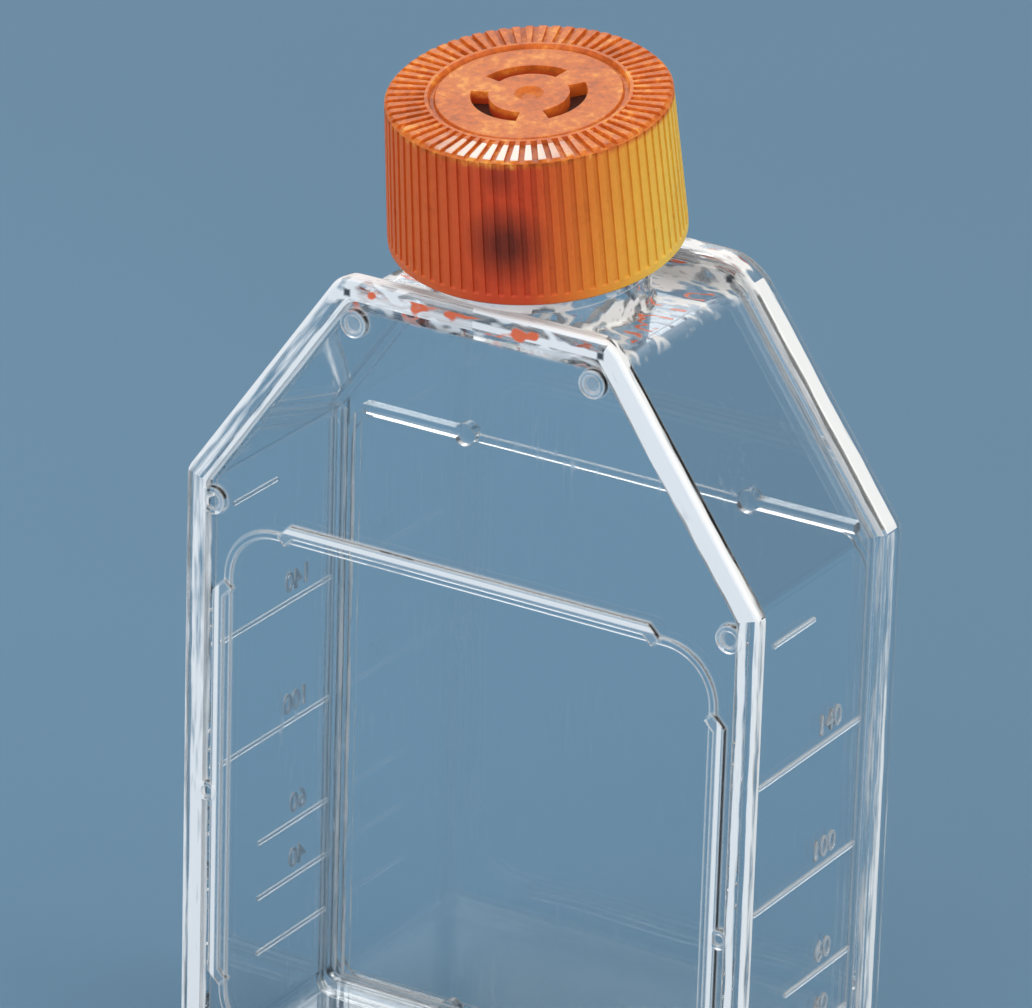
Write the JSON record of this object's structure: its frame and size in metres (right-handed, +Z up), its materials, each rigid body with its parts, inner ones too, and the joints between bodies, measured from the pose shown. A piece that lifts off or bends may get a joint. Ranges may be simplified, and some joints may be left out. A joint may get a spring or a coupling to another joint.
{
  "type": "cell culture flask",
  "caption": "Clear rectangular culture flask standing on its end, with sloping shoulders, a canted neck and an orange ribbed screw cap with a vented top.",
  "frame": {"origin": "middle of the growth plate's foot, which is level with the foot of the front rim", "axes": "+Z up along the flask's length, +X to its right, -Y towards the front panel and +Y towards the growth plate"},
  "size_m": [0.082, 0.042, 0.1444],
  "materials": {
    "shell_clear": "clear moulded polystyrene, polished",
    "plate_clear": "clear moulded polystyrene, polished",
    "cap_orange": "orange moulded polyethylene, satin",
    "membrane_white": "white porous filter film"
  },
  "bodies": {
    "flask": {"flask_shell": "shell_clear", "growth_plate": "plate_clear"},
    "filter": {"vent_membrane": "membrane_white"},
    "cap": {"cap": "cap_orange"}
  },
  "joints": [
    {"name": "cap_lift", "type": "slide", "parent": "flask", "child": "filter", "axis": [0, -0.1659, 0.9861], "range_m": [0, 0.024]},
    {"name": "cap_turn", "type": "hinge", "parent": "filter", "child": "cap", "pos_m": [0, -0.0178, 0.1141], "axis": [0, -0.1659, 0.9861], "range_deg": [0, 2160]}
  ],
  "couplings": [
    {"joint": "cap_lift", "follows": "cap_turn", "m_per_rad": 0.00063662}
  ]
}
